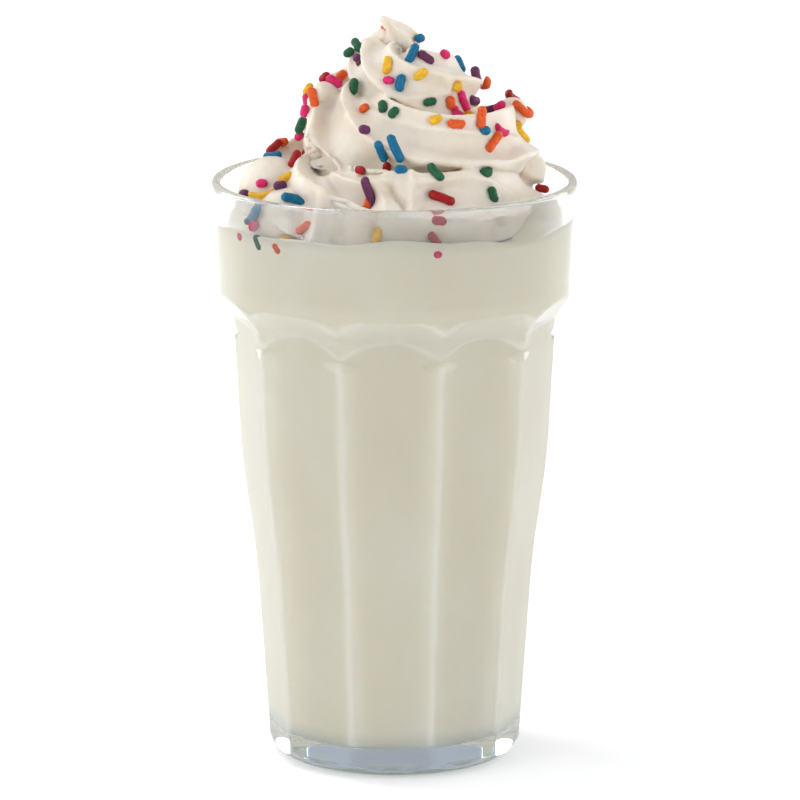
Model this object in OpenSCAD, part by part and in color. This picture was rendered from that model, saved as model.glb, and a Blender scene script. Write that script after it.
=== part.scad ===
// Milkshake in a faceted soda glass, topped with a piped swirl of whipped cream.
// The origin is the centre of the foot, +Z is up and the front of the swirl faces -Y.

/* [Glass] */
// Height of the glass
glass_h = 145; // [122:1:174]
// Outer diameter across the rim
rim_d = 90; // [76:1:108]
// Height of the plain collar
collar_h = 29; // [24:1:35]
// How far the collar flares out towards the rim
collar_flare = 1.6; // [0:0.1:3]
// Height of the sloping shoulder under the collar
shoulder_h = 6.5; // [4:0.5:9]
// How far the shoulder steps in under the collar
shoulder_step = 3.4; // [2:0.1:5]
// How much the body narrows from the shoulder to the heel
body_taper = 8.5; // [5:0.5:11]
// Height at which the waist's taper begins
upper_knee_z = 74; // [68:1:82]
// Height at which the waist's taper ends
lower_knee_z = 51; // [42:1:56]
// Wall thickness at the rim and in the middle of each flat
wall_t = 2.4; // [1.8:0.1:3]
// Thickness of the solid base
base_t = 7; // [5:0.5:11]
// Radius of the rounded heel
heel_r = 7; // [4:0.5:9]
// Radius inside, between the floor and the wall
floor_r = 5; // [3:0.5:8]
// Number of flats round the body
flats = 10; // [8:1:12]
// Turn of the flats about the glass's axis
flats_turn = -1.5; // [-18:0.5:18]

/* [Drink] */
// Level of the milkshake below the rim
fill_drop = 9.5; // [7:0.5:25]

/* [Whipped cream] */
// Height of the swirl above the milkshake
cream_h = 50; // [40:1:60]
// Gap between the lowest tier and the wall
cream_gap = 4.8; // [3:0.2:10]
// Depth of the grooves between the ridges, as a share of the rope's radius
groove_depth = 0.4; // [0.1:0.02:0.5]
// Number of ridges that the piping tip leaves
ridges = 6; // [5:1:8]

/* [Hidden] */
$fn = 96;

// Heights and radii up the glass
rim_r = rim_d / 2;
collar_r = rim_r - collar_flare;
body_r = collar_r - shoulder_step;
base_r = body_r - body_taper;
upper_knee_r = base_r + 0.775 * body_taper;
lower_knee_r = base_r + 0.365 * body_taper;
knee_reach = 8.7;
collar_z = glass_h - collar_h;
shoulder_z = collar_z - shoulder_h;
fill_z = glass_h - fill_drop;
lip_r = wall_t / 2;
rim_z = glass_h - lip_r;

// The flats lean out at the arches, more steeply than the shoulder does
flat_share = cos(180 / flats);
arch_foot_z = shoulder_z + 0.7;
arch_slope = 1.25;
beyond_r = 1.4 * rim_r;

// Below the shoulder the round envelope stands clear of the edges between the flats
clear_share = 1.02;
shoulder_share = 1.003;
bend_steps = 4;

// The cavity widens with the shoulder, a little higher up
cavity_shoulder_z = shoulder_z + 3;
cavity_collar_z = collar_z + 4.5;

// Stations along the piped rope: turns clockwise from +X, ring radius, height, rope radius,
// shift of the ring in X and in Y, and turn of the ridges. Lengths are shares of cream_r,
// and the height is a share of cream_h.
SWIRL = [
    [-0.70, 0.60, 0.05, 0.26, 0.00, -0.08, -170],
    [-0.40, 0.62, 0.07, 0.30, 0.00, -0.08, -30],
    [-0.05, 0.62, 0.08, 0.30, 0.00, -0.06, 60],
    [0.25, 0.70, 0.07, 0.30, 0.00, -0.08, 80],
    [0.50, 0.61, 0.09, 0.30, 0.00, -0.05, 170],
    [0.75, 0.50, 0.25, 0.30, 0.05, 0.00, 260],
    [1.00, 0.46, 0.32, 0.29, 0.15, 0.00, 300],
    [1.27, 0.43, 0.38, 0.28, 0.14, 0.00, 305],
    [1.50, 0.38, 0.46, 0.28, 0.09, 0.00, 400],
    [1.75, 0.28, 0.54, 0.24, 0.09, 0.00, 470],
    [2.00, 0.22, 0.60, 0.23, 0.11, 0.00, 500],
    [2.25, 0.18, 0.68, 0.20, 0.08, 0.00, 520],
    [2.50, 0.12, 0.75, 0.18, 0.04, 0.00, 600],
    [2.80, 0.07, 0.84, 0.13, 0.01, 0.00, 680],
    [3.05, 0.03, 0.93, 0.06, -0.03, 0.00, 740],
    [3.20, 0.00, 0.99, 0.02, -0.09, 0.00, 760]
];
LAST = len(SWIRL) - 1;

// Outline of the cream that fills the middle, as shares of cream_r and cream_h
HEART = [
    [0, -0.02],
    [0.74, -0.02],
    [0.65, 0.38],
    [0.58, 0.46],
    [0.38, 0.59],
    [0.22, 0.68],
    [0.08, 0.76],
    [0, 0.76]
];

// Small lumps beside the swirl: place in X and Y, height and radius, as shares of cream_r,
// with the height as a share of cream_h
LUMPS = [
    [-0.81, -0.27, 0.16, 0.23],
    [-0.70, -0.54, 0.06, 0.22],
    [0.89, 0.11, 0.22, 0.11],
    [-0.46, -0.05, 0.60, 0.10],
    [0.78, 0.24, 0.48, 0.11]
];

rings_per_station = 5;
points_per_ridge = 4;
inner_fullness = 1.5;
tip_station = 12;
tip_links = 10;

// A curve from a to b, drawn towards the knee point between them
function bend(a, knee, b) = [
    for (i = [0 : bend_steps])
        let (t = i / bend_steps)
            (1 - t) * (1 - t) * a + 2 * t * (1 - t) * knee + t * t * b
];

// A round corner about the point centre, from one angle to another
function corner(centre, r, from, to, steps) = [
    for (i = [0 : steps])
        let (a = from + (to - from) * i / steps)
            centre + r * [cos(a), sin(a)]
];

// The point on a straight line from a to b at height z
function at_height(a, b, z) = a + (b - a) * (z - a[1]) / (b[1] - a[1]);

// Side of the body from above the heel to the shoulder, as [radius, height],
// with every radius scaled by share and then reduced by inset
function body_side(share, inset, from_z, to_z) =
    let (
        low = [share * base_r - inset, heel_r],
        knee_1 = [share * lower_knee_r - inset, lower_knee_z],
        knee_2 = [share * upper_knee_r - inset, upper_knee_z],
        high = [share * body_r - inset, shoulder_z]
    )
    concat(
        [at_height(low, knee_1, from_z)],
        bend(
            at_height(low, knee_1, lower_knee_z - knee_reach),
            knee_1,
            at_height(knee_1, knee_2, lower_knee_z + knee_reach)
        ),
        bend(
            at_height(knee_1, knee_2, upper_knee_z - knee_reach),
            knee_2,
            at_height(knee_2, high, upper_knee_z + knee_reach)
        ),
        [at_height(knee_2, high, to_z)]
    );

// Outer radius of the collar, which flares gently up to the rim
function collar_radius(z) =
    collar_r + (rim_r - collar_r) * pow((z - collar_z) / (rim_z - collar_z), 2);

// Radius of the cavity at the level of the drink, and of the cream inside it
cavity_r = collar_radius(fill_z) - wall_t;
cream_r = cavity_r - cream_gap;

function collar_side(inset, from_z, to_z) = [
    for (i = [0 : bend_steps])
        let (z = from_z + (to_z - from_z) * i / bend_steps)
            [collar_radius(z) - inset, z]
];

// The cavity's outline from the middle of its floor up to a level in the collar
function cavity_side(level) =
    let (wall = body_side(flat_share, wall_t, base_t + floor_r, cavity_shoulder_z))
    concat(
        [[0, base_t]],
        corner([wall[0][0] - floor_r, base_t + floor_r], floor_r, -90, 0, 5),
        [for (i = [1 : len(wall) - 1]) wall[i]],
        collar_side(wall_t, cavity_collar_z, level)
    );

// The round envelope of the glass, with its rounded heel and lip
module envelope() {
    rotate_extrude()
        polygon(concat(
            [[0, 0]],
            corner([clear_share * base_r - heel_r, heel_r], heel_r, -90, 0, 5),
            [[clear_share * upper_knee_r, upper_knee_z]],
            [[shoulder_share * body_r, shoulder_z]],
            collar_side(0, collar_z, rim_z),
            corner([rim_r - lip_r, rim_z], lip_r, 0, 90, 4),
            [[0, glass_h]]
        ));
}

// The faceted body. Its flats lean out above the arches, to clear the collar.
module flatted() {
    side = concat(
        body_side(1, 0, -1, arch_foot_z),
        [[beyond_r, arch_foot_z + (beyond_r - body_r) / arch_slope]],
        [[beyond_r, glass_h + beyond_r]]
    );
    top = len(side) - 1;
    points = [
        for (p = side, k = [0 : flats - 1])
            let (a = (k + 0.5) * 360 / flats)
                [p[0] * cos(a), p[0] * sin(a), p[1]]
    ];
    walls = [
        for (i = [0 : top - 1], k = [0 : flats - 1])
            let (next = (k + 1) % flats)
                [
                    i * flats + k,
                    (i + 1) * flats + k,
                    (i + 1) * flats + next,
                    i * flats + next
                ]
    ];
    ends = [
        [for (k = [0 : flats - 1]) k],
        [for (k = [flats - 1 : -1 : 0]) top * flats + k]
    ];
    polyhedron(points, concat(walls, ends));
}

// The room inside the glass, open at the top
module cavity() {
    rotate_extrude()
        polygon(concat(
            cavity_side(rim_z),
            corner([rim_r - lip_r, rim_z], lip_r, 180, 90, 4),
            [[0, glass_h]]
        ));
}

module glass() {
    color([0.86, 0.91, 0.93, 0.35])
        difference() {
            intersection() {
                envelope();
                rotate(flats_turn - 90)
                    flatted();
            }
            cavity();
        }
}

module milkshake() {
    color([0.95, 0.93, 0.85])
        rotate_extrude()
            polygon(concat(cavity_side(fill_z), [[0, fill_z]]));
}

// Smooth values between the stations
function between(a, b, c, d, t) =
    b + t / 2 * (c - a + t * (2 * a - 5 * b + 4 * c - d + t * (3 * b - 3 * c + d - a)));

function station(s) =
    let (i = min(floor(s), LAST - 1))
    between(SWIRL[max(i - 1, 0)], SWIRL[i], SWIRL[i + 1], SWIRL[min(i + 2, LAST)], s - i);

// Centre of the rope at a station, the middle of the swirl's ring being its axis
function rope_centre(v) = [
    cream_r * (v[4] + v[1] * cos(-360 * v[0])),
    cream_r * (v[5] + v[1] * sin(-360 * v[0])),
    fill_z + cream_h * v[2]
];

// Radius of the star section, from crest (phase 0) to valley (phase 180)
function star(phase) = 1 + groove_depth * (pow(1 - abs(sin(phase / 2)), 1.15) - 0.36);

// One ring of points round the rope. Its hidden inner side is fuller, so that the turns
// fuse, but stops short of the swirl's axis.
function ring(s) =
    let (
        v = station(s),
        out = [cos(-360 * v[0]), sin(-360 * v[0]), 0],
        count = ridges * points_per_ridge
    )
    [
        for (k = [0 : count - 1])
            let (
                phase = 360 * k / points_per_ridge,
                angle = v[6] + 360 * k / count,
                r = cream_r * v[3] * star(phase),
                reach = r * cos(angle) * (cos(angle) < 0 ? inner_fullness : 1)
            )
                rope_centre(v)
                    + out * max(reach, -0.95 * cream_r * v[1])
                    + [0, 0, r * sin(angle)]
    ];

// A stretch of rope between two stations, as one closed solid
module rope(from, to) {
    steps = round((to - from) * rings_per_station);
    count = ridges * points_per_ridge;
    points = [for (i = [0 : steps]) each ring(from + (to - from) * i / steps)];
    walls = [
        for (i = [0 : steps - 1], k = [0 : count - 1])
            let (
                a = i * count + k,
                b = i * count + (k + 1) % count
            )
                each [[a, b + count, b], [a, a + count, b + count]]
    ];
    ends = [
        [for (k = [0 : count - 1]) k],
        [for (k = [count - 1 : -1 : 0]) steps * count + k]
    ];
    polyhedron(points, concat(walls, ends));
}

module bead(s) {
    v = station(s);
    translate(rope_centre(v))
        sphere(r = 1.1 * cream_r * v[3], $fn = 16);
}

// The curled tip that the nozzle pulls up as it leaves
module tip() {
    for (i = [0 : tip_links - 1]) {
        step = (LAST - tip_station) / tip_links;
        hull() {
            bead(tip_station + i * step);
            bead(tip_station + (i + 1) * step);
        }
    }
}

// Cream that fills the middle of the swirl, under the rope
module heart() {
    translate([0.08 * cream_r, -0.04 * cream_r, fill_z])
        rotate_extrude($fn = 32)
            polygon([for (p = HEART) [cream_r * p[0], cream_h * p[1]]]);
}

module lumps() {
    for (lump = LUMPS)
        translate([cream_r * lump[0], cream_r * lump[1], fill_z + cream_h * lump[2]])
            rotate(7)
                sphere(r = cream_r * lump[3], $fn = 18);
}

module whipped_cream() {
    color([0.97, 0.95, 0.91])
        intersection() {
            union() {
                for (s = [0 : 2 : tip_station - 2])
                    rope(s, s + 2);
                tip();
                heart();
                lumps();
            }
            translate([0, 0, fill_z])
                cylinder(h = 2 * cream_h, r = cavity_r);
        }
}

glass();
milkshake();
whipped_cream();
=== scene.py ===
import math
import random

import bpy
import numpy as np
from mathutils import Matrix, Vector
from mathutils.bvhtree import BVHTree
from mathutils.noise import noise


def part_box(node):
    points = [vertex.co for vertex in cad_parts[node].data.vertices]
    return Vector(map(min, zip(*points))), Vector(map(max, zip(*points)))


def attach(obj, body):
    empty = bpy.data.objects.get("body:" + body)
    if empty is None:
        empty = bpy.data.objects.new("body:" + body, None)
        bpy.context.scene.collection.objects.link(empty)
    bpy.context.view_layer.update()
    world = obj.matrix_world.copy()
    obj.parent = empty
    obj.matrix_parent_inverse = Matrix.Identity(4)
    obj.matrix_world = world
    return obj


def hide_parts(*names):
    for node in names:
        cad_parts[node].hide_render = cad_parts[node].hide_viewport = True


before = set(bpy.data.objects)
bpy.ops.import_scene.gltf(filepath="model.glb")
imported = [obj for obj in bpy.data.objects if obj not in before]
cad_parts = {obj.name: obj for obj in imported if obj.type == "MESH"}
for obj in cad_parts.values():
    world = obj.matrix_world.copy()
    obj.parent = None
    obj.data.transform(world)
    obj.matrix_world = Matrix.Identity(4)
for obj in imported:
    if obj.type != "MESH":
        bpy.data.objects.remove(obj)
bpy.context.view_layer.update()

# Shapes are worked out in millimetres, and become metres in make_mesh() and settle_cream().
# Materials and lights are in metres.
MM = 0.001
SCENE = bpy.context.scene


def box_mm(node):
    low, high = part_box(node)
    return np.array(low) / MM, np.array(high) / MM


GLASS_LOW, GLASS_HIGH = box_mm("glass")
DRINK_LOW, DRINK_HIGH = box_mm("milkshake")

# Glass, as in the construction: heights and radii of its collar, shoulder, waist and heel
GLASS_H = GLASS_HIGH[2]
RIM_R = (GLASS_HIGH[0] - GLASS_LOW[0]) / 2
COLLAR_R = RIM_R - 1.6
BODY_R = COLLAR_R - 3.4
TAPER = 8.5
BASE_R = BODY_R - TAPER
COLLAR_Z = GLASS_H - 29
SHOULDER_Z = COLLAR_Z - 6.5
SHOULDER_R = 1.003 * BODY_R
KNEES_Z = (51, 74)
KNEE_REACH = 8.7
WALL = 2.4
BASE_T = DRINK_LOW[2]
HEEL_R = 7
FLOOR_R = 5
FLATS = 10
FLATS_TURN = math.radians(-91.5)
FILL_Z = DRINK_HIGH[2]
CAVITY_R = DRINK_HIGH[0]
LIP_RINGS = 12

# Painted highlights: how whitish and less clear the glass is made along its edges, its arches and its lip,
# where the lamps would reflect, out of 1
EDGE_PAINTED_HIGHLIGHT = 0.42
ARCH_PAINTED_HIGHLIGHT = 0.55
ARCH_BAND_PAINTED_HIGHLIGHT = 0.22
LIP_PAINTED_HIGHLIGHT = 0.3

# How far the drink, the cream and the sprinkles reach into the wall, so that no air shows between
DRINK_BITE = 0.25
CREAM_BITE = 0.2
SPRINKLE_BITE = 0.35

# Camera's place in millimetres, and where the lamps point, in metres
EYE = (1.36, -1578, 431.7)
LIGHT_AIM = Vector((0, 0, 0.1))

# Swirl of cream
CREAM_R = CAVITY_R - 4.8
CREAM_H = 50
CREAM_SINK = 1.5  # how far the cream goes down into the drink
CREAM_GRAIN = 0.4  # size of the grid that joins its shapes into one
RIDGES = 6
GROOVE = 0.4
SWIRL = np.array([
    # turn, ring, height, rope, shift x, shift y, ridge turn
    (-0.70, 0.60, 0.05, 0.26, 0.00, -0.08, -170),
    (-0.40, 0.62, 0.07, 0.30, 0.00, -0.08, -30),
    (-0.05, 0.62, 0.08, 0.30, 0.00, -0.06, 60),
    (0.25, 0.70, 0.07, 0.30, 0.00, -0.08, 80),
    (0.50, 0.61, 0.09, 0.30, 0.00, -0.05, 170),
    (0.75, 0.50, 0.25, 0.30, 0.05, 0.00, 260),
    (1.00, 0.46, 0.32, 0.29, 0.15, 0.00, 300),
    (1.27, 0.43, 0.38, 0.28, 0.14, 0.00, 305),
    (1.50, 0.38, 0.46, 0.28, 0.09, 0.00, 400),
    (1.75, 0.28, 0.54, 0.24, 0.09, 0.00, 470),
    (2.00, 0.22, 0.60, 0.23, 0.11, 0.00, 500),
    (2.25, 0.18, 0.68, 0.20, 0.08, 0.00, 520),
    (2.50, 0.12, 0.75, 0.18, 0.04, 0.00, 600),
    (2.80, 0.07, 0.84, 0.13, 0.01, 0.00, 680),
    (3.05, 0.03, 0.93, 0.06, -0.03, 0.00, 740),
    (3.20, 0.00, 0.99, 0.02, -0.09, 0.00, 760),
])


# Folds of the cream as the camera sees them: how far out (mm), how wide (mm), and a line of
# points in millimetres right of the axis and above the top of the drink
FOLDS = [
    (0.8, 1.2, [(2.5, 43), (5, 39), (8.5, 37), (12.5, 35), (13.5, 32.5), (13, 31), (8.5, 29.5), (2.5, 29)]),
    (-0.9, 1.0, [(-1.5, 48), (0.5, 44), (1.5, 41)]),
    (0.8, 1.0, [(-7, 43), (-11, 39), (-11.5, 35)]),
    (1.9, 1.3, [(-18, 31), (-19.5, 25), (-20.5, 18.5), (-19.5, 15),
                (-17, 11), (-12, 8.5), (-7.5, 7.5), (-2, 8.5)]),
    (-1.7, 2.6, [(-14.5, 27), (-16, 20), (-15, 15), (-11, 12.5), (-5, 12)]),
    (1.0, 1.2, [(-7.5, 29), (-6, 26), (-1, 24), (6.5, 22), (13.5, 21.5), (21, 20.5), (32, 18.5)]),
    (-0.9, 2.4, [(-2, 19.5), (8, 17.5), (18, 17), (28, 16)]),
    (0.6, 1.2, [(1.5, 12), (8.5, 13.5), (21, 13.5), (31, 13)]),
    (-3.2, 2.6, [(-14.5, 6), (-11, 5), (-7, 4.5)]),
    (-1.9, 1.0, [(-1.5, 7.5), (0.5, 5), (2.5, 3)]),
    (0.9, 1.0, [(4, 11), (4.2, 7), (4, 3)]),
    (0.9, 1.0, [(-5, 8), (-3.5, 5), (-2.5, 3)]),
    (1.1, 1.3, [(5, 8.5), (11, 9), (18.5, 10), (23.5, 8.5), (28.5, 4.5), (31, 3.5)]),
    (-1.0, 1.9, [(8.5, 5.5), (16, 6.5), (21, 5)]),
    (0.9, 1.2, [(24.5, 13), (31, 11.5), (37, 8.5)]),
    (1.8, 1.3, [(-19, 13.5), (-17, 7), (-17.5, 2), (-19, -3), (-19.5, -6)]),
    (-1.6, 1.8, [(-22, 3), (-23, -2), (-23.5, -6)]),
    (-1.6, 2.0, [(-13.5, 1), (-13, -3), (-14, -6)]),
    (-1.3, 1.6, [(8, 1), (14, -1.5), (20, 0)]),
    (-1.4, 1.8, [(23, 2), (25, -3), (24, -7)]),
    (-1.0, 1.6, [(-4, 1), (-5, -4)]),
    (1.4, 3.5, [(-22, 7.5), (-21, 6)]),
]

# Small lumps beside the swirl: place right of the axis, behind it and above the top of the drink,
# then radius, all in millimetres
LUMPS = [(-30, -10, 8, 8.5), (-26, -20, 3, 8), (33, 4, 11, 4.1), (-17, -2, 30, 3.7), (29, 9, 24, 4.1)]

# ---------------------------------------------------------------- mesh helpers

def make_mesh(name, points, faces, smooth=True):
    mesh = bpy.data.meshes.new(name)
    mesh.from_pydata([tuple(p) for p in np.asarray(points) * MM], [], faces)
    mesh.validate()
    mesh.polygons.foreach_set("use_smooth", [smooth] * len(mesh.polygons))
    piece = bpy.data.objects.new(name, mesh)
    SCENE.collection.objects.link(piece)
    return piece


def skin(rows, columns):
    """Faces of a solid made of rings of points: quads between the rings, and a cap at each end"""
    faces = [
        (i * columns + k, i * columns + (k + 1) % columns,
         (i + 1) * columns + (k + 1) % columns, (i + 1) * columns + k)
        for i in range(rows - 1) for k in range(columns)
    ]
    faces.append(tuple(reversed(range(columns))))
    faces.append(tuple(range((rows - 1) * columns, rows * columns)))
    return faces


def rounded(z, zs, rs, reach):
    """A line through points, with each knee rounded over a distance to either side"""
    steps = np.linspace(-1, 1, 21) * reach
    return np.mean([np.interp(np.asarray(z) + s, zs, rs) for s in steps], axis=0)


def soft_min(a, b, width):
    """The smaller of two values, rounded over a width where they cross"""
    h = np.clip(0.5 + 0.5 * (b - a) / width, 0, 1)
    return b + (a - b) * h - width * h * (1 - h)


def spline(table, s):
    """Smooth values between the rows of a table"""
    last = len(table) - 1
    i = min(int(s), last - 1)
    t = s - i
    a, b, c, d = table[max(i - 1, 0)], table[i], table[i + 1], table[min(i + 2, last)]
    return b + t / 2 * (c - a + t * (2 * a - 5 * b + 4 * c - d + t * (3 * b - 3 * c + d - a)))


# ---------------------------------------------------------------- glass

def body_radius(z):
    """Radius of the faceted body at the edges between its flats"""
    zs = (-1, KNEES_Z[0], KNEES_Z[1], SHOULDER_Z)
    rs = (BASE_R - 0.5, BASE_R + 0.365 * TAPER, BASE_R + 0.775 * TAPER, BODY_R)
    return rounded(z, zs, rs, KNEE_REACH)


def collar_radius(z):
    t = (np.asarray(z) - COLLAR_Z) / (GLASS_H - WALL / 2 - COLLAR_Z)
    return COLLAR_R + (RIM_R - COLLAR_R) * t * t


def flat_distance(z):
    """Distance of each flat from the axis. The flats lean out at the arches."""
    foot = SHOULDER_Z + 0.7
    lean = np.maximum(np.asarray(z) - foot, 0) / 1.25
    soft = 0.5 * (lean + np.sqrt(lean * lean + 0.25)) - 0.25
    return (body_radius(np.minimum(z, SHOULDER_Z)) + soft) * math.cos(math.pi / FLATS)


def flat_shape(angles, sharpness=110):
    """1 in the middle of a flat and less towards its edges, which come out rounded"""
    total = 0
    for k in range(FLATS):
        turn = angles - FLATS_TURN - k * 2 * math.pi / FLATS
        total = total + np.maximum(np.cos(turn), 0.01) ** sharpness
    return total ** (1 / sharpness)


def cavity_radius(z):
    z = np.asarray(z, dtype=float)
    wall = body_radius(np.minimum(z, SHOULDER_Z)) * math.cos(math.pi / FLATS) - WALL
    collar = collar_radius(np.maximum(z, COLLAR_Z)) - WALL
    t = np.clip((z - SHOULDER_Z - 3) / (COLLAR_Z + 4.5 - SHOULDER_Z - 3), 0, 1)
    return wall + (collar - wall) * t * t * (3 - 2 * t)


def outer_rows():
    """Height and round radius of each ring, from the middle of the foot up to the lip"""
    rows = [(0.9, r) for r in (8, 14, 18)] + [(0.75, 20.5), (0.3, 22), (0.05, 23)]
    foot_r = 1.02 * BASE_R - HEEL_R
    for a in np.radians(np.linspace(-90, 0, 12)):
        rows.append((HEEL_R + HEEL_R * math.sin(a), foot_r + HEEL_R * math.cos(a)))
    clear = 1.05 * BODY_R  # outside the flats, so that they decide the shape
    rows += [(z, clear) for z in np.linspace(HEEL_R + 1.5, SHOULDER_Z - 4, 44)]
    for z in np.linspace(SHOULDER_Z - 3.5, COLLAR_Z + 5, 46):
        t = np.clip((z - SHOULDER_Z) / (COLLAR_Z - SHOULDER_Z), -2, 1)
        cone = SHOULDER_R + (COLLAR_R - SHOULDER_R) * t
        rows.append((z, float(soft_min(cone + 0.15, collar_radius(max(z, COLLAR_Z)), 1.0))))
    rows += [(z, float(collar_radius(z))) for z in np.linspace(COLLAR_Z + 6, GLASS_H - WALL / 2, 14)]
    return rows


def arch_gap(z, shape):
    """How far a leaning flat stands outside the shoulder: 0 along the arches, more above them"""
    t = np.clip((z - SHOULDER_Z) / (COLLAR_Z - SHOULDER_Z), 0, 1)
    return flat_distance(z) / shape - SHOULDER_R - (COLLAR_R - SHOULDER_R) * t


def painted_edge_highlights(z, r, flat, shape, edge_turn):
    """Painted highlights on the moulded edges, as whitish lines where the lamps would reflect: between the
    flats, and in a band along each arch
    """
    middle = np.clip(edge_turn * FLATS / math.pi, 0, 1)  # 0 at an edge, 1 in the middle of a flat
    inner_z = SHOULDER_Z + 2 - 4.7 * (1 - middle) ** 2.2
    edges = EDGE_PAINTED_HIGHLIGHT * np.exp(-(edge_turn * BODY_R / 1.3) ** 2) * (flat < r) * (z > HEEL_R)
    if z < SHOULDER_Z - 6 or z > COLLAR_Z + 1:
        return edges if z < SHOULDER_Z else 0 * edges
    outer = arch_gap(z, shape)
    line = ARCH_PAINTED_HIGHLIGHT * np.exp(-(outer / 0.4) ** 2) * (z > SHOULDER_Z)
    inner_line = EDGE_PAINTED_HIGHLIGHT * np.exp(-((z - inner_z) / 0.8) ** 2)
    band = ARCH_BAND_PAINTED_HIGHLIGHT * (outer < 0) * (z > inner_z)
    return np.maximum(np.maximum(line, band), np.maximum(inner_line, edges * (z < inner_z)))


def glass():
    columns = 400
    foot_edge_r = 24  # the rings under the foot stay round, and the wider ones are cut by the flats
    steps = np.linspace(0, 2 * math.pi, columns, endpoint=False)
    # More columns near the edges between the flats, which are narrow
    angles = FLATS_TURN + steps + 0.65 * np.sin(FLATS * steps) / FLATS
    shape = flat_shape(angles)
    edge_turn = (angles - FLATS_TURN + math.pi / FLATS) % (2 * math.pi / FLATS)
    edge_turn = np.minimum(edge_turn, 2 * math.pi / FLATS - edge_turn)
    rings = []
    # Painted highlights on each ring of the outside, whitish where the lamps would reflect in the edges and
    # arches
    painted_highlight_rows = []
    for z, r in outer_rows():
        flat = flat_distance(z) / shape
        radius = np.full(columns, r)
        if r > foot_edge_r:
            radius = soft_min(radius, flat, 0.4)
        rings.append((radius, z))
        painted_highlight_rows.append(painted_edge_highlights(z, r, flat, shape, edge_turn))
    lip = WALL / 2
    for a in np.radians(np.linspace(0, 180, LIP_RINGS + 1)[1:]):
        r = RIM_R - lip + lip * math.cos(a)
        rings.append((np.full(columns, r), GLASS_H - lip + lip * math.sin(a)))
    for z in np.linspace(GLASS_H - lip, BASE_T + FLOOR_R, 70)[1:]:
        rings.append((np.full(columns, float(cavity_radius(z))), z))
    wall_r = float(cavity_radius(BASE_T + FLOOR_R))
    for a in np.radians(np.linspace(0, -90, 9)[1:]):
        r = wall_r - FLOOR_R + FLOOR_R * math.cos(a)
        rings.append((np.full(columns, r), BASE_T + FLOOR_R + FLOOR_R * math.sin(a)))
    rings.append((np.full(columns, 8.0), BASE_T))
    points = []
    for radius, z in rings:
        points += zip(radius * np.cos(angles), radius * np.sin(angles), np.full(columns, z))
    piece = make_mesh("soda_glass", points, skin(len(rings), columns))
    # Painted highlights for every point, with an even one on the lip; the material makes the glass less
    # clear there
    painted_highlight = np.zeros(len(points))
    outer = np.concatenate(painted_highlight_rows)
    painted_highlight[:len(outer)] = outer
    painted_highlight[len(outer):len(outer) + LIP_RINGS * columns] = LIP_PAINTED_HIGHLIGHT
    piece.data.attributes.new("painted_highlight", "FLOAT", "POINT").data.foreach_set("value", painted_highlight)
    piece.data.materials.append(glass_material())
    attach(piece, "root")
    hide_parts("glass")


# ---------------------------------------------------------------- milkshake

def drink():
    """The drink fills the cavity up to a wavy top"""
    columns = 180
    angles = np.linspace(0, 2 * math.pi, columns, endpoint=False)
    wave = 0.9 + 0.8 * np.sin(3 * angles + 0.5) + 0.6 * np.sin(5 * angles + 2) + 0.4 * np.sin(11 * angles)
    wavy_rings = 4  # the last rings, near the top
    wall_r = float(cavity_radius(BASE_T + FLOOR_R))
    rings = [(0.5, BASE_T - DRINK_BITE)]
    for a in np.radians(np.linspace(-90, 0, 9)):
        r = wall_r - FLOOR_R + (FLOOR_R + DRINK_BITE) * math.cos(a)
        rings.append((r, BASE_T + FLOOR_R + (FLOOR_R + DRINK_BITE) * math.sin(a)))
    for z in np.linspace(BASE_T + FLOOR_R + 1, FILL_Z - 0.6, 60):
        rings.append((float(cavity_radius(z)) + DRINK_BITE, z))
    rings += [(CAVITY_R - 0.8, FILL_Z - 0.4), (CAVITY_R - 3, FILL_Z - 0.9), (0.5, FILL_Z - 0.9)]
    points = []
    for i, (r, z) in enumerate(rings):
        lift = wave if i >= len(rings) - wavy_rings else 0 * wave
        points += zip(r * np.cos(angles), r * np.sin(angles), z + lift * min(1, r / 30))
    piece = make_mesh("milkshake_drink", points, skin(len(rings), columns))
    piece.data.materials.append(drink_material())
    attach(piece, "root")
    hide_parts("milkshake")
    return piece


# ---------------------------------------------------------------- whipped cream

def rope_mesh():
    """The piped rope, a star section swept along the rising swirl"""
    steps = 620
    columns = RIDGES * 18
    angles = np.linspace(0, 2 * math.pi, columns, endpoint=False)
    stations = np.linspace(0, len(SWIRL) - 1, steps)
    rows = np.array([spline(SWIRL, s) for s in stations])
    turn = -2 * math.pi * rows[:, 0]
    centre = np.stack([
        CREAM_R * (rows[:, 4] + rows[:, 1] * np.cos(turn)),
        CREAM_R * (rows[:, 5] + rows[:, 1] * np.sin(turn)),
        FILL_Z + CREAM_H * rows[:, 2],
    ], axis=1)
    along = np.gradient(centre, axis=0)
    along /= np.linalg.norm(along, axis=1)[:, None]
    out = np.stack([np.cos(turn), np.sin(turn), 0 * turn], axis=1)
    out -= (out * along).sum(axis=1)[:, None] * along
    out /= np.linalg.norm(out, axis=1)[:, None]
    up = np.cross(out, along)
    up *= np.sign(up[:, 2])[:, None]
    points = []
    for i in range(steps):
        phase = RIDGES * (angles - math.radians(rows[i, 6]))
        crest = (1 - np.abs(np.sin(phase / 2))) ** 1.3
        r = CREAM_R * rows[i, 3] * (1 + GROOVE * (crest - 0.36))
        across = (r * np.cos(angles))[:, None] * out[i]
        points += list(centre[i] + across + (r * np.sin(angles))[:, None] * up[i])
    return points, skin(steps, columns)


def heart_mesh():
    """Cream that fills the middle of the swirl"""
    columns = 48
    profile = [(0.76, -0.03), (0.58, 0.36), (0.50, 0.45), (0.36, 0.58), (0.20, 0.66)]
    angles = np.linspace(0, 2 * math.pi, columns, endpoint=False)
    points = []
    for r, h in profile:
        for a in angles:
            x = CREAM_R * (0.08 + r * math.cos(a))
            y = CREAM_R * (-0.04 + r * math.sin(a))
            points.append((x, y, FILL_Z + CREAM_H * h))
    return points, skin(len(profile), columns)


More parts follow.
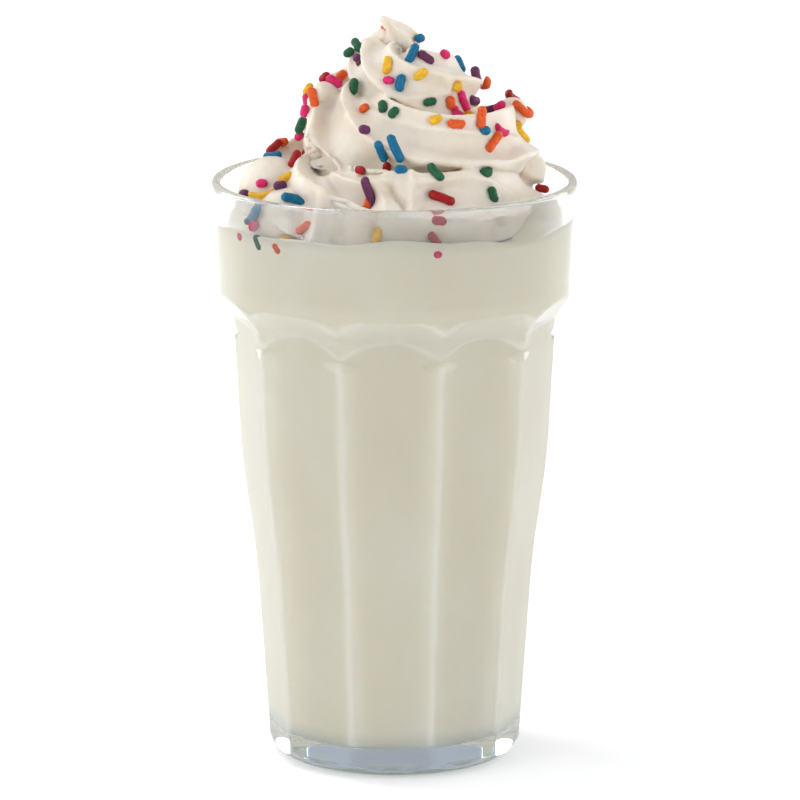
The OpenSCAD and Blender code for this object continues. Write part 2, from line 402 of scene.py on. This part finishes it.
def cream():
    points = []
    faces = []
    parts = [rope_mesh(), heart_mesh()] + [lump_mesh(*lump) for lump in LUMPS]
    for part_points, part_faces in parts:
        faces += [tuple(i + len(points) for i in f) for f in part_faces]
        points += part_points
    piece = make_mesh("piped_cream", points, faces)
    remesh = piece.modifiers.new("fuse", "REMESH")
    remesh.mode = "VOXEL"
    remesh.voxel_size = CREAM_GRAIN * MM
    remesh.use_smooth_shade = True
    relax = piece.modifiers.new("relax", "SMOOTH")
    relax.factor = 0.5
    relax.iterations = 5
    apply_modifiers(piece)
    settle_cream(piece)
    piece.data.materials.append(cream_material())
    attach(piece, "root")
    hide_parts("whipped_cream")
    return piece


def lump_mesh(x, y, h, radius):
    """A round lump with a slightly wavy outline"""
    columns = 32
    rows = 18
    angles = np.linspace(0, 2 * math.pi, columns, endpoint=False)
    points = []
    for a in np.radians(np.linspace(-85, 85, rows)):
        r = radius * math.cos(a) * (1 + 0.05 * np.sin(3 * angles + x))
        z = FILL_Z + h + radius * math.sin(a)
        points += zip(x + r * np.cos(angles), y + r * np.sin(angles), np.full(columns, z))
    return points, skin(rows, columns)


def fold_heights(points, normals):
    """How far the folds lift or sink each point, on the side that faces the camera"""
    seen = np.array(sight_plane(points))
    facing = np.clip(-normals[:, 1] * 3 + 0.2, 0, 1)
    total = np.zeros(len(points))
    for height, width, line in FOLDS:
        near = np.full(len(points), 1e9)
        for a, b in zip(np.array(line[:-1]), np.array(line[1:])):
            along = np.clip(((seen - a) @ (b - a)) / ((b - a) @ (b - a)), 0, 1)
            near = np.minimum(near, ((seen - a - along[:, None] * (b - a)) ** 2).sum(axis=1))
        total += height * np.exp(-near / width ** 2)
    return total * facing


def sight_plane(points):
    """Where the camera sees a point, in millimetres on the upright plane through the axis"""
    eye = np.array(EYE)
    points = np.asarray(points)
    t = eye[1] / (eye[1] - points[..., 1])
    x = eye[0] + (points[..., 0] - eye[0]) * t
    z = eye[2] + (points[..., 2] - eye[2]) * t
    return np.stack([x, z - FILL_Z], axis=-1)


def apply_modifiers(piece):
    depsgraph = bpy.context.evaluated_depsgraph_get()
    mesh = bpy.data.meshes.new_from_object(piece.evaluated_get(depsgraph))
    piece.modifiers.clear()
    piece.data = mesh


def settle_cream(piece):
    """Small unevenness, and the cream pressed against the glass and down on the drink"""
    mesh = piece.data
    count = len(mesh.vertices)
    points = np.empty(count * 3)
    normals = np.empty(count * 3)
    mesh.vertices.foreach_get("co", points)
    mesh.vertices.foreach_get("normal", normals)
    points = points.reshape(-1, 3) / MM
    normals = normals.reshape(-1, 3)
    bumps = np.array([0.35 * noise(p * 0.16) + 0.10 * noise(p * 0.55) for p in map(Vector, points)])
    points += normals * (bumps + fold_heights(points, normals))[:, None]
    reach = np.hypot(points[:, 0], points[:, 1])
    limit = np.where(points[:, 2] < GLASS_H - 1, CAVITY_R + CREAM_BITE, 1000)  # free above the rim
    points[:, :2] *= np.minimum(1, limit / np.maximum(reach, 1))[:, None]
    points[:, 2] = np.maximum(points[:, 2], FILL_Z - CREAM_SINK)
    mesh.vertices.foreach_set("co", (points * MM).ravel())
    mesh.update()


# ---------------------------------------------------------------- sprinkles

# Each sprinkle in the picture: colour, millimetres right of the axis and above the top of the
# drink as the camera sees it, length in millimetres, tilt in degrees and bend
SPRINKLES = [
    ("green", -10.5, 44.5, 4.2, -60, 0), ("green", -12, 41.5, 3, 30, 0), ("blue", 4.5, 40, 5.8, 80, 0),
    ("purple", 7.5, 39, 4.6, -55, 0), ("blue", 7, 44, 2.8, 0, 0), ("pink", 12, 40, 2.8, 0, 0),
    ("yellow", -1.5, 37.5, 4.5, 85, 0.3), ("yellow", 6.5, 35.5, 4.2, 40, 0), ("pink", -1.5, 33.5, 2.8, 0, 0),
    ("blue", 1.5, 33, 4.4, 85, 0), ("red", -17, 35, 3.8, 80, 0), ("pink", -15, 33, 4.5, -45, 0),
    ("orange", -13, 34.5, 3.4, 60, 0), ("green", -10.5, 32, 4.5, 45, 0), ("yellow", -21, 31.5, 3.4, 30, 0),
    ("orange", -19.5, 29.5, 5.4, -50, 0), ("pink", -23, 29, 3.2, 90, 0), ("pink", -21.5, 26, 3.4, -60, 0),
    ("green", -26.5, 24, 4.6, 60, 1), ("orange", -28.5, 22.5, 3.4, 0, 0), ("pink", -24.5, 20, 2.8, 0, 0),
    ("red", -29.5, 17.5, 5, 85, 0), ("orange", -7, 26.5, 2.8, 0, 0), ("green", -2.5, 27, 3.5, -60, 0),
    ("green", 0, 25.5, 3.2, 60, 0), ("green", 8.5, 28.5, 3.4, 10, 0), ("purple", -7.5, 21, 3, 0, 0),
    ("blue", -3, 16.5, 6.4, 88, 0), ("blue", 0, 16, 7.4, -75, 0), ("red", -1.5, 12, 3.2, 75, 0),
    ("blue", 1.5, 11, 3.2, 30, 0), ("red", -8, 11.5, 3, 0, 0), ("purple", -5.5, 6, 8.6, -70, 0.2),
    ("orange", -6.5, 2.5, 4, 80, 0), ("green", 10, 10.5, 5.6, -70, 0), ("green", 22, 11, 3.8, 20, 0.5),
    ("red", 11.5, 4, 6.8, -35, 0), ("green", 24, 5, 4.2, 85, 0), ("red", 36, 6, 3.6, 40, 0),
    ("yellow", 10, 24, 3.4, 20, 0), ("pink", 16.5, 28.5, 6.2, -55, 0), ("yellow", 15, 32.5, 3, 90, 0),
    ("purple", 19, 29, 3.8, -10, 0.3), ("orange", 13.5, 28, 3.4, 80, 0), ("orange", 15, 23, 4.6, 0, 0.2),
    ("orange", 21, 24.5, 5.6, 75, 0), ("pink", 25.5, 28, 3.4, 70, 0), ("orange", 31, 26.5, 5.8, -40, 0),
    ("pink", 26, 21.5, 4.4, -10, 1), ("orange", 24, 18.5, 6.4, 40, 0), ("blue", 22, 21, 2.8, 0, 0),
    ("yellow", -26.5, 9, 4.8, 0, 0), ("yellow", -32, 5.5, 7.2, 5, 1.2), ("purple", -28, 7, 3.4, 0, 0),
    ("pink", -32.5, 8, 3, 0, 0), ("blue", -25, 4, 6.2, -8, 0), ("purple", -36.5, 5.5, 2.8, 0, 0),
    ("blue", -33, 0.5, 6.2, 35, 0.4), ("pink", -33, -2, 3, 80, 0), ("orange", -21.5, -3, 4.4, 5, 0),
    ("yellow", -26, -5, 3.8, 10, 0), ("green", -33, -6.5, 4.2, -50, 0), ("orange", -28.5, -8, 3.2, -40, 0),
    ("pink", -37, -5, 2.4, 0, 0), ("yellow", -4, -5, 4.4, 85, 0), ("red", 9.5, -5.5, 4.8, -55, 0),
    ("red", 10.5, -1, 3.6, -10, 0), ("pink", 10.5, -9.5, 2.4, 0, 0),
]
SPRINKLE_R = 1.1
LONG = 7  # from this length on, a sprinkle stands further out and follows the surface less
STAND = 0.6  # how far a sprinkle's middle stands out from the surface
LONG_STAND = 1.0
EDGE_STAND = 1.1  # for one that the camera sees beside the cream
NEAR_GLASS = 2.2  # nearer the wall than this, a sprinkle is pressed flat against it
PRESSED_GAP = 0.45  # from the middle of a pressed one to the wall
EXTRA = 75  # sprinkles that the picture doesn't show
EXTRA_TRIES = 4000
EXTRA_APART = 3.6
EXTRA_SHORTEST = 4.2
EXTRA_LONGEST = 5.9
TONES = {
    "green": (0.016, 0.105, 0.045), "blue": (0.006, 0.14, 0.27), "red": (0.36, 0.012, 0.016),
    "orange": (0.72, 0.10, 0.016), "yellow": (0.76, 0.42, 0.022), "pink": (0.66, 0.022, 0.14),
    "purple": (0.13, 0.03, 0.09),
}


def sprinkle_mesh(centre, along, up, length, bend, rng):
    """A small rod with round ends, slightly uneven, and bent sideways by a distance in its middle"""
    columns = 14
    radius = SPRINKLE_R * rng.uniform(0.92, 1.06)
    half = max(length / 2 - radius, 0.15)
    side = along.cross(up).normalized()
    seed = Vector((rng.uniform(0, 90), rng.uniform(0, 90), 0))
    rise = np.linspace(0.12, math.pi / 2, 6)
    fall = np.linspace(math.pi / 2, 0.12, 6)
    profile = [(-half - radius * math.cos(a), radius * math.sin(a)) for a in rise]
    profile += [(half * t, radius) for t in (-0.6, -0.2, 0.2, 0.6)]
    profile += [(half + radius * math.cos(a), radius * math.sin(a)) for a in fall]
    points = []
    for t, r in profile:
        curve = bend * (1 - (t / (half + radius)) ** 2) + 0.1 * rng.uniform(-1, 1)
        for k in range(columns):
            a = 2 * math.pi * k / columns
            way = side * math.cos(a) - up * math.sin(a)
            swell = 1 + 0.07 * noise(seed + Vector((t * 0.7, math.cos(a), math.sin(a))))
            points.append(centre + along * t + side * curve + way * r * swell)
    return points, skin(len(profile), columns)


def sprinkles(cream_piece, drink_piece):
    rng = random.Random(7)
    points = []
    faces = []
    for piece in (cream_piece, drink_piece):
        start = len(points)
        points += [v.co / MM for v in piece.data.vertices]
        faces += [tuple(i + start for i in p.vertices) for p in piece.data.polygons]
    tree = BVHTree.FromPolygons(points, faces)
    eye = Vector(EYE)
    batches = {tone: ([], []) for tone in TONES}
    centres = []

    def add(tone, place, normal, way, length, bend, stand):
        centre = place + normal * stand
        reach = math.hypot(centre.x, centre.y)
        if centre.z < GLASS_H - 2 and reach > CAVITY_R - NEAR_GLASS:
            scale = (CAVITY_R - PRESSED_GAP) / reach
            centre = Vector((centre.x * scale, centre.y * scale, centre.z))
            normal = Vector((centre.x, centre.y, 0)).normalized()
        follow = 0.9 if length < LONG else 0.4
        along = (way - normal * way.dot(normal) * follow).normalized()
        up = (normal - along * normal.dot(along)).normalized()
        rod_points, rod_faces = sprinkle_mesh(centre, along, up, length, bend, rng)
        if centre.z < GLASS_H - 2:
            for p in rod_points:
                far = math.hypot(p.x, p.y)
                if far > CAVITY_R + SPRINKLE_BITE:
                    p.x *= (CAVITY_R + SPRINKLE_BITE) / far
                    p.y *= (CAVITY_R + SPRINKLE_BITE) / far
        batch = batches[tone]
        batch[1].extend(tuple(i + len(batch[0]) for i in f) for f in rod_faces)
        batch[0].extend(rod_points)
        centres.append(centre)

    for tone, x, h, length, tilt, bend in SPRINKLES:
        target = Vector((x, 0, FILL_Z + h))
        place, normal = tree.ray_cast(eye, (target - eye).normalized())[:2]
        stand = STAND if length < LONG else LONG_STAND
        if place is None:
            place, normal = tree.find_nearest(target)[:2]
            stand = EDGE_STAND
        way = Vector((math.cos(math.radians(tilt)), 0, math.sin(math.radians(tilt))))
        add(tone, place, normal, way, length, bend, stand)

    # More on the sides, the back and the top, which the picture doesn't show
    placed = 0
    tones = sorted(TONES)
    for _ in range(EXTRA_TRIES):
        if placed == EXTRA:
            break
        turn = math.radians(rng.uniform(-25, 205))
        far = Vector((90 * math.cos(turn), 90 * math.sin(turn), FILL_Z + rng.uniform(15, 75)))
        aim = Vector((rng.uniform(-28, 28), rng.uniform(-8, 30), FILL_Z + rng.uniform(4, 40)))
        place, normal = tree.ray_cast(far, (aim - far).normalized())[:2]
        if place is None or place.z < FILL_Z + 3 or normal.z < -0.1:
            continue
        seen = tree.ray_cast(eye, (place - eye).normalized())[0]
        if seen is not None and (seen - place).length < 1.5:
            continue  # the camera sees this place, where the picture has no sprinkle
        if min((c - place).length for c in centres) < EXTRA_APART:
            continue
        way = Vector((rng.gauss(0, 1), rng.gauss(0, 1), rng.gauss(0, 1))).normalized()
        bend = rng.choice((0, 0, 0, 0.4, 1))
        tone = rng.choice(tones)
        length = rng.uniform(EXTRA_SHORTEST, EXTRA_LONGEST)
        stand = rng.uniform(0.3, 0.8)
        add(tone, place, normal, way, length, bend, stand)
        placed += 1

    for tone, (rod_points, rod_faces) in batches.items():
        piece = make_mesh("sprinkles_" + tone, rod_points, rod_faces)
        piece.data.materials.append(sprinkle_material(tone))
        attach(piece, "root")


# ---------------------------------------------------------------- materials

def principled(name, **inputs):
    material = bpy.data.materials.new(name)
    material.use_nodes = True
    shader = material.node_tree.nodes["Principled BSDF"]
    for key, value in inputs.items():
        shader.inputs[key.replace("_", " ")].default_value = value
    return material, material.node_tree, shader


def add_node(tree, kind, **values):
    node = tree.nodes.new(kind)
    for key, value in values.items():
        if hasattr(node, key):
            setattr(node, key, value)
        else:
            node.inputs[key.replace("_", " ")].default_value = value
    return node


def tones_from(tree, source, stops):
    """A colour ramp fed by a value: each stop is a place and a colour"""
    ramp = tree.nodes.new("ShaderNodeValToRGB")
    while len(ramp.color_ramp.elements) < len(stops):
        ramp.color_ramp.elements.new(0.5)
    for element, (place, colour) in zip(ramp.color_ramp.elements, stops):
        element.position = place
        element.color = (*colour, 1)
    tree.links.new(source, ramp.inputs["Fac"])
    return ramp.outputs["Color"]


def noise_value(tree, scale, detail=3.0, stretch=(1, 1, 1)):
    """Noise in object space, with the scale in bumps a metre"""
    coords = tree.nodes.new("ShaderNodeTexCoord")
    mapping = tree.nodes.new("ShaderNodeMapping")
    mapping.inputs["Scale"].default_value = stretch
    texture = add_node(tree, "ShaderNodeTexNoise", Scale=scale, Detail=detail)
    tree.links.new(coords.outputs["Object"], mapping.inputs["Vector"])
    tree.links.new(mapping.outputs["Vector"], texture.inputs["Vector"])
    return texture.outputs["Fac"]


def height_value(tree, low, high):
    """0 at one height above the floor and 1 at another, both in metres"""
    coords = tree.nodes.new("ShaderNodeTexCoord")
    split = tree.nodes.new("ShaderNodeSeparateXYZ")
    scale = tree.nodes.new("ShaderNodeMapRange")
    scale.inputs["From Min"].default_value = low
    scale.inputs["From Max"].default_value = high
    tree.links.new(coords.outputs["Object"], split.inputs["Vector"])
    tree.links.new(split.outputs["Z"], scale.inputs["Value"])
    return scale.outputs["Result"]


def add_bump(tree, shader, height, strength, distance):
    bump = add_node(tree, "ShaderNodeBump", Strength=strength, Distance=distance)
    tree.links.new(height, bump.inputs["Height"])
    tree.links.new(bump.outputs["Normal"], shader.inputs["Normal"])


def glass_material():
    """Clear pressed glass, bluer and darker in its thick foot (its own tint, and painted shade for what the
    foot would show), with painted highlights along its edges made as less clear glass, and faintly wavy
    """
    material, tree, shader = principled("clear_glass", Roughness=0.015, IOR=1.5)
    # Darker blue towards the foot: partly the tint of the thick glass, partly painted shade for the dark
    # floor and surroundings seen through it
    tint = tones_from(tree, height_value(tree, 0.0, GLASS_H * MM), [
        (0.0, (0.60, 0.715, 0.835)), (0.04, (0.66, 0.765, 0.87)), (0.08, (0.965, 0.98, 0.99)),
        (1.0, (0.965, 0.98, 0.99))])
    tree.links.new(tint, shader.inputs["Base Color"])
    # Painted highlights: the stored value turns transmission down, so edges, arches and lip go whitish
    painted_highlight = tree.nodes.new("ShaderNodeAttribute")
    painted_highlight.attribute_name = "painted_highlight"
    clear = tree.nodes.new("ShaderNodeMapRange")
    clear.inputs["To Min"].default_value = 1
    clear.inputs["To Max"].default_value = 0.65
    tree.links.new(painted_highlight.outputs["Fac"], clear.inputs["Value"])
    tree.links.new(clear.outputs["Result"], shader.inputs["Transmission Weight"])
    add_bump(tree, shader, noise_value(tree, 60, 1, (1, 1, 0.4)), 0.12, 0.0008)
    return material


def drink_material():
    """Vanilla milkshake: a pale cream colour with faint paler streaks"""
    material, tree, shader = principled(
        "milkshake", Roughness=0.38, Subsurface_Weight=0.3, Subsurface_Scale=0.004, IOR=1.35)
    shader.inputs["Subsurface Radius"].default_value = (1, 0.8, 0.5)
    colour = tones_from(tree, noise_value(tree, 55, 4, (1, 1, 0.5)), [
        (0.3, (0.85, 0.785, 0.625)), (0.5, (0.865, 0.806, 0.65)), (0.7, (0.885, 0.84, 0.71))])
    tree.links.new(colour, shader.inputs["Base Color"])
    add_bump(tree, shader, noise_value(tree, 500, 3), 0.15, 0.0003)
    return material


def cream_material():
    """Whipped cream: warm white, yellower in places, with a fine grain"""
    material, tree, shader = principled(
        "whipped_cream", Roughness=0.48, Subsurface_Weight=0.35, Subsurface_Scale=0.003, IOR=1.4)
    shader.inputs["Subsurface Radius"].default_value = (1, 0.72, 0.45)
    colour = tones_from(tree, noise_value(tree, 90, 4), [
        (0.3, (0.74, 0.645, 0.515)), (0.5, (0.77, 0.69, 0.585)), (0.7, (0.80, 0.735, 0.645))])
    tree.links.new(colour, shader.inputs["Base Color"])
    add_bump(tree, shader, noise_value(tree, 900, 4), 0.35, 0.0004)
    return material


def sprinkle_material(tone):
    """Coloured sugar: a mottled colour under a soft shine"""
    material, tree, shader = principled("sprinkle_" + tone, Roughness=0.4, IOR=1.28)
    base = np.array(TONES[tone])
    colour = tones_from(tree, noise_value(tree, 1100, 3), [
        (0.3, tuple(base * 0.8)), (0.55, tuple(base)), (0.75, tuple(np.minimum(base * 1.25 + 0.01, 1)))])
    tree.links.new(colour, shader.inputs["Base Color"])
    add_bump(tree, shader, noise_value(tree, 2500, 2), 0.25, 0.0002)
    return material


# ---------------------------------------------------------------- stage

def camera():
    """Far off and a little above, as in a studio picture of a drink"""
    data = bpy.data.cameras.new("camera")
    data.lens = 293.4
    data.sensor_width = 36
    data.clip_end = 20
    piece = bpy.data.objects.new("camera", data)
    SCENE.collection.objects.link(piece)
    aim = Vector((EYE[0], 0, 0.6145 * GLASS_H)) * MM
    piece.location = Vector(EYE) * MM
    piece.rotation_euler = (aim - piece.location).to_track_quat("-Z", "Y").to_euler()
    SCENE.camera = piece


def area_light(name, place, size, power, tint=(1, 1, 1)):
    """A soft lamp turned to the glass: place and size in metres, power in watts"""
    data = bpy.data.lights.new(name, "AREA")
    data.shape = "RECTANGLE"
    data.size, data.size_y = size
    data.energy = power
    data.color = tint
    lamp = bpy.data.objects.new(name, data)
    SCENE.collection.objects.link(lamp)
    lamp.location = place
    lamp.rotation_euler = (LIGHT_AIM - Vector(place)).to_track_quat("-Z", "Y").to_euler()


def stage():
    half = 6000
    corners = [(-half, -half, 0), (half, -half, 0), (half, half, 0), (-half, half, 0)]
    floor = make_mesh("floor", corners, [(0, 1, 2, 3)], smooth=False)
    floor.location.z = -0.0002
    material = principled(
        "floor", Base_Color=(0.9, 0.9, 0.9, 1), Roughness=0.6, Emission_Color=(1, 1, 1, 1),
        Emission_Strength=0.28)[0]
    floor.data.materials.append(material)
    world = bpy.data.worlds.new("studio")
    SCENE.world = world
    world.use_nodes = True
    tree = world.node_tree
    background = tree.nodes["Background"]
    coords = tree.nodes.new("ShaderNodeTexCoord")
    split = tree.nodes.new("ShaderNodeSeparateXYZ")
    sideways = add_node(tree, "ShaderNodeMath", operation="ABSOLUTE")
    tree.links.new(coords.outputs["Generated"], split.inputs["Vector"])
    tree.links.new(split.outputs["X"], sideways.inputs[0])
    light = tones_from(tree, sideways.outputs["Value"], [
        (0.0, (0.50, 0.50, 0.50)), (0.4, (0.60, 0.605, 0.615)),
        (0.75, (0.98, 0.99, 1)), (1.0, (0.98, 0.99, 1))])
    tree.links.new(light, background.inputs["Color"])
    background.inputs["Strength"].default_value = 0.9
    area_light("top", (-0.5, 0.3, 1.2), (0.4, 0.4), 3.6)
    area_light("left", (-1.05, -0.72, 0.4), (0.8, 1.2), 6.8, (0.90, 0.95, 1))
    area_light("right", (1.05, -0.72, 0.4), (0.8, 1.2), 6.0, (0.90, 0.95, 1))
    area_light("left_back", (-1.0, 0.8, 0.45), (0.4, 1.1), 5)
    area_light("right_back", (1.0, 0.8, 0.45), (0.4, 1.1), 3.5)


SCENE.view_settings.view_transform = "Standard"
SCENE.cycles.max_bounces = 24
SCENE.cycles.glossy_bounces = 16
SCENE.cycles.transmission_bounces = 24
camera()
stage()
glass()
drink_piece = drink()
cream_piece = cream()
sprinkles(cream_piece, drink_piece)
